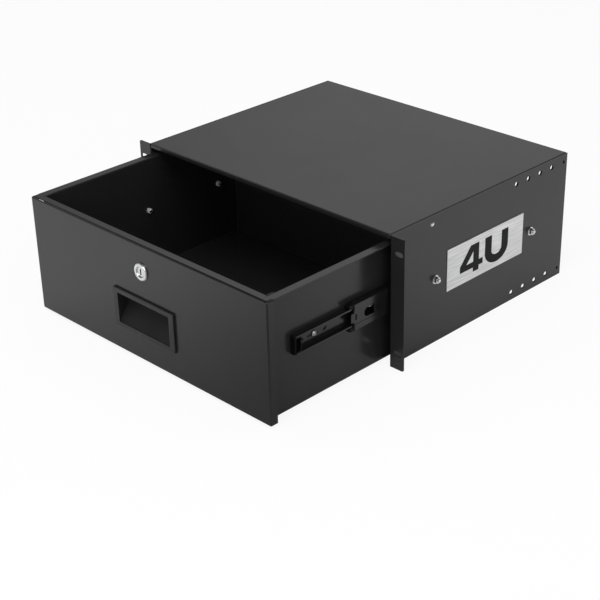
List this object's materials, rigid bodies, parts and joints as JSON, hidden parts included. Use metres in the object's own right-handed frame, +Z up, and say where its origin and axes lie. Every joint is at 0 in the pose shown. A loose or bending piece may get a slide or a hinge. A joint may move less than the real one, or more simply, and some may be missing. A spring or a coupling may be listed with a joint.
{
  "type": "sliding rack drawer",
  "caption": "Lockable sliding drawer for a 19 inch rack: sheet steel case with rack ears, ball bearing slides, a flush pull and a cam lock, shown half open.",
  "frame": {"origin": "centre of the four ear slots, in the front plane of the rack ears", "axes": "+X to the right seen from the front, +Y to the rear, +Z up"},
  "size_m": [0.4826, 0.553, 0.177],
  "materials": {
    "black_powder_coat": "satin black powder coat",
    "black_zinc_steel": "black zinc, semi-gloss",
    "bearing_steel": "polished",
    "nickel_plate": "bright nickel",
    "chrome_plate": "bright chrome",
    "zinc_plate": "zinc plate",
    "moulded_abs": "fine textured black ABS",
    "acetal": "moulded black acetal",
    "rubber": "matt black rubber",
    "brushed_plate": "brushed, with a black size mark"
  },
  "bodies": {
    "case": {"left_side_panel": "black_powder_coat", "right_side_panel": "black_powder_coat", "top_cover": "black_powder_coat", "rear_brace": "black_powder_coat", "lock_striker": "black_powder_coat", "left_slide_outer_member": "black_zinc_steel", "right_slide_outer_member": "black_zinc_steel", "slide_bolts": "nickel_plate", "slide_washers": "nickel_plate", "slide_nuts": "nickel_plate", "cover_rivets": "nickel_plate", "left_slide_rear_bumper": "rubber", "right_slide_rear_bumper": "rubber", "size_plate": "brushed_plate"},
    "drawer": {"drawer_tray": "black_powder_coat", "drawer_back": "black_powder_coat", "drawer_inner_front": "black_powder_coat", "drawer_front_panel": "black_powder_coat", "flush_pull": "moulded_abs", "lock_housing": "chrome_plate", "lock_nut": "zinc_plate", "left_slide_inner_member": "black_zinc_steel", "right_slide_inner_member": "black_zinc_steel", "left_slide_end_cap": "acetal", "right_slide_end_cap": "acetal", "drawer_screws": "nickel_plate", "drawer_nuts": "nickel_plate", "key_blades": "nickel_plate", "key_heads": "moulded_abs"},
    "lock": {"lock_plug": "chrome_plate", "lock_cam": "zinc_plate", "cam_screw": "nickel_plate"},
    "middle_rails": {"left_slide_middle_member": "black_zinc_steel", "left_slide_front_stop": "acetal", "right_slide_middle_member": "black_zinc_steel", "right_slide_front_stop": "acetal"},
    "outer_cages": {"left_outer_ball_cage": "black_zinc_steel", "left_outer_balls": "bearing_steel", "right_outer_ball_cage": "black_zinc_steel", "right_outer_balls": "bearing_steel"},
    "inner_cages": {"left_inner_ball_cage": "black_zinc_steel", "left_inner_balls": "bearing_steel", "right_inner_ball_cage": "black_zinc_steel", "right_inner_balls": "bearing_steel"}
  },
  "joints": [
    {"name": "drawer_slide", "type": "slide", "parent": "case", "child": "drawer", "axis": [0, -1, 0], "range_m": [-0.2, 0.1]},
    {"name": "middle_rail_slide", "type": "slide", "parent": "case", "child": "middle_rails", "axis": [0, -1, 0], "range_m": [-0.1, 0.05]},
    {"name": "outer_cage_slide", "type": "slide", "parent": "case", "child": "outer_cages", "axis": [0, -1, 0], "range_m": [-0.05, 0.025]},
    {"name": "inner_cage_slide", "type": "slide", "parent": "case", "child": "inner_cages", "axis": [0, -1, 0], "range_m": [-0.15, 0.075]},
    {"name": "lock_turn", "type": "hinge", "parent": "drawer", "child": "lock", "pos_m": [0, -0.2, 0.0404], "axis": [0, 1, 0], "range_deg": [0, 90]}
  ],
  "couplings": [
    {"joint": "middle_rail_slide", "follows": "drawer_slide", "ratio": 0.5},
    {"joint": "outer_cage_slide", "follows": "drawer_slide", "ratio": 0.25},
    {"joint": "inner_cage_slide", "follows": "drawer_slide", "ratio": 0.75}
  ]
}
